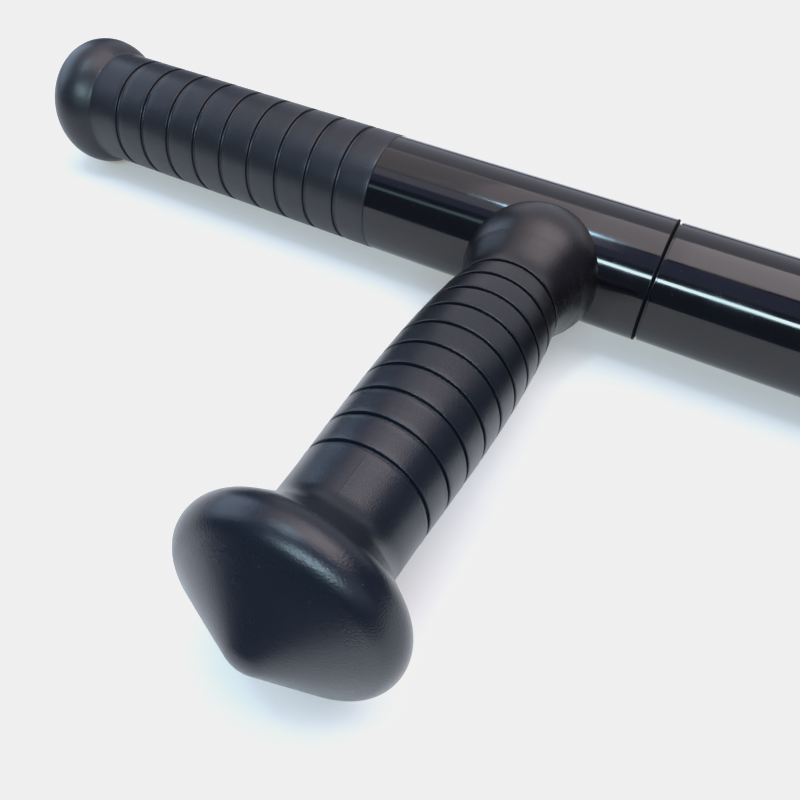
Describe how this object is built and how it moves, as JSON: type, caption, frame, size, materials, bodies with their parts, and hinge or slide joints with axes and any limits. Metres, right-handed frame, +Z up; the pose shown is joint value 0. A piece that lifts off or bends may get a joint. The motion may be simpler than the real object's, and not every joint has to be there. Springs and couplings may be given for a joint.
{
  "type": "side-handle baton",
  "caption": "Tubular baton with a grooved rear grip, a grooved side handle ending in a mushroom knob, and a twist-locked telescoping front section.",
  "frame": {"origin": "centre of the box around the closed baton, on the floor it lies on", "axes": "+X along the barrel towards the tip; the side handle points along -Y, rising slightly to its knob; +Z up from the floor"},
  "size_m": [0.3682, 0.1564, 0.0431],
  "materials": {
    "gloss_barrel": "gloss",
    "rear_grip": "satin",
    "handle_moulding": "satin",
    "black_anodised": "satin",
    "steel": "machined",
    "acetal": "smooth",
    "shoe_nylon": "smooth",
    "seal_rubber": "matte",
    "brass": "machined"
  },
  "bodies": {
    "barrel": {"hub_tube": "gloss_barrel", "front_barrel": "gloss_barrel", "mouth_bush": "acetal", "mouth_wiper": "seal_rubber", "rear_grip": "rear_grip", "rear_plug": "acetal", "plug_pin": "steel", "rear_bumper": "seal_rubber", "saddle_boss": "steel", "handle_rod": "steel", "rod_washer": "steel", "rod_nut": "steel", "side_handle": "handle_moulding"},
    "guide": {"glide_ring": "acetal"},
    "extension": {"extension_tube": "black_anodised", "tip_cap": "acetal", "tip_pin": "steel", "cam_plug": "brass", "cam_pin": "steel", "cam_washer": "steel", "cam_screw": "steel"},
    "lock": {"lock_shoe": "shoe_nylon"}
  },
  "joints": [
    {"name": "extension_slide", "type": "slide", "parent": "barrel", "child": "guide", "axis": [1, 0, 0], "range_m": [0, 0.2413]},
    {"name": "extension_twist", "type": "hinge", "parent": "guide", "child": "extension", "pos_m": [-0.01805, 0.0593, 0.01887], "axis": [1, 0, 0], "range_deg": [0, 20]},
    {"name": "shoe_shift", "type": "slide", "parent": "guide", "child": "lock", "axis": [0, -0.9998, 0.0217], "range_m": [0, 0.0004168]}
  ],
  "couplings": [
    {"joint": "shoe_shift", "follows": "extension_twist", "m_per_rad": 0.0011939}
  ]
}
